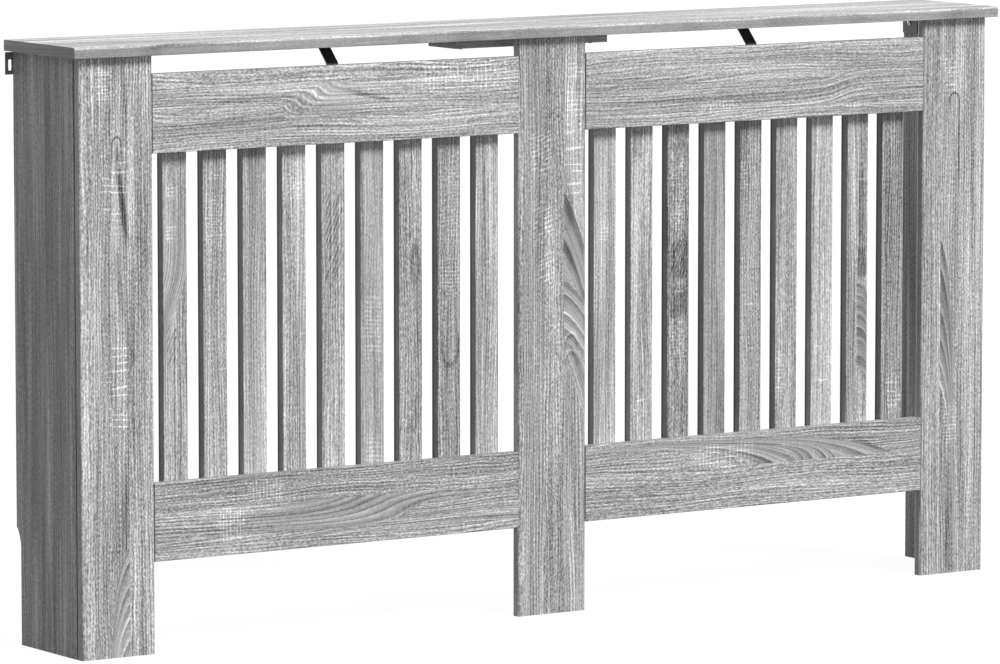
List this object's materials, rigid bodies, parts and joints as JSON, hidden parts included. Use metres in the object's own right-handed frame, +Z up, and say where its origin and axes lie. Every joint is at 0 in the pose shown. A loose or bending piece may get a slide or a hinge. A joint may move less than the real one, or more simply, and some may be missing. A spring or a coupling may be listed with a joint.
{
  "type": "radiator cover cabinet",
  "caption": "Slatted radiator cover with a long shelf top, upright posts, rails, side panels cut out for the skirting board, and steel wall brackets.",
  "frame": {"origin": "on the floor, at the middle of the cover's length and depth", "axes": "+X along the cover, +Y towards the wall, +Z up; the slatted front faces -Y"},
  "size_m": [1.52, 0.19, 0.815],
  "materials": {
    "grey_oak": "matt grey oak grain laminate on board",
    "beech": "bare beech",
    "black_steel": "satin black powder coat",
    "dark_steel": "dark grey coated steel",
    "zinc": "zinc plated"
  },
  "bodies": {
    "root": {"bottom_rail_left": "grey_oak", "bottom_rail_right": "grey_oak", "brace_screw_left_rail": "zinc", "brace_screw_left_top": "zinc", "brace_screw_right_rail": "zinc", "brace_screw_right_top": "zinc", "bracket_screw_left": "zinc", "bracket_screw_right": "zinc", "centre_plate": "grey_oak", "panel_dowel_left_1": "beech", "panel_dowel_left_2": "beech", "panel_dowel_right_1": "beech", "panel_dowel_right_2": "beech", "post_centre": "grey_oak", "post_left": "grey_oak", "post_right": "grey_oak", "rail_dowel_left_inner_1": "beech", "rail_dowel_left_inner_2": "beech", "rail_dowel_left_inner_3": "beech", "rail_dowel_left_inner_4": "beech", "rail_dowel_left_outer_1": "beech", "rail_dowel_left_outer_2": "beech", "rail_dowel_left_outer_3": "beech", "rail_dowel_left_outer_4": "beech", "rail_dowel_right_inner_1": "beech", "rail_dowel_right_inner_2": "beech", "rail_dowel_right_inner_3": "beech", "rail_dowel_right_inner_4": "beech", "rail_dowel_right_outer_1": "beech", "rail_dowel_right_outer_2": "beech", "rail_dowel_right_outer_3": "beech", "rail_dowel_right_outer_4": "beech", "side_panel_left": "grey_oak", "side_panel_right": "grey_oak", "slat_left_1": "grey_oak", "slat_left_2": "grey_oak", "slat_left_3": "grey_oak", "slat_left_4": "grey_oak", "slat_left_5": "grey_oak", "slat_left_6": "grey_oak", "slat_left_7": "grey_oak", "slat_left_8": "grey_oak", "slat_left_9": "grey_oak", "slat_right_1": "grey_oak", "slat_right_2": "grey_oak", "slat_right_3": "grey_oak", "slat_right_4": "grey_oak", "slat_right_5": "grey_oak", "slat_right_6": "grey_oak", "slat_right_7": "grey_oak", "slat_right_8": "grey_oak", "slat_right_9": "grey_oak", "top_board": "grey_oak", "top_brace_left": "black_steel", "top_brace_right": "black_steel", "top_rail_left": "grey_oak", "top_rail_right": "grey_oak", "wall_bracket_left": "dark_steel", "wall_bracket_right": "dark_steel"}
  },
  "joints": []
}
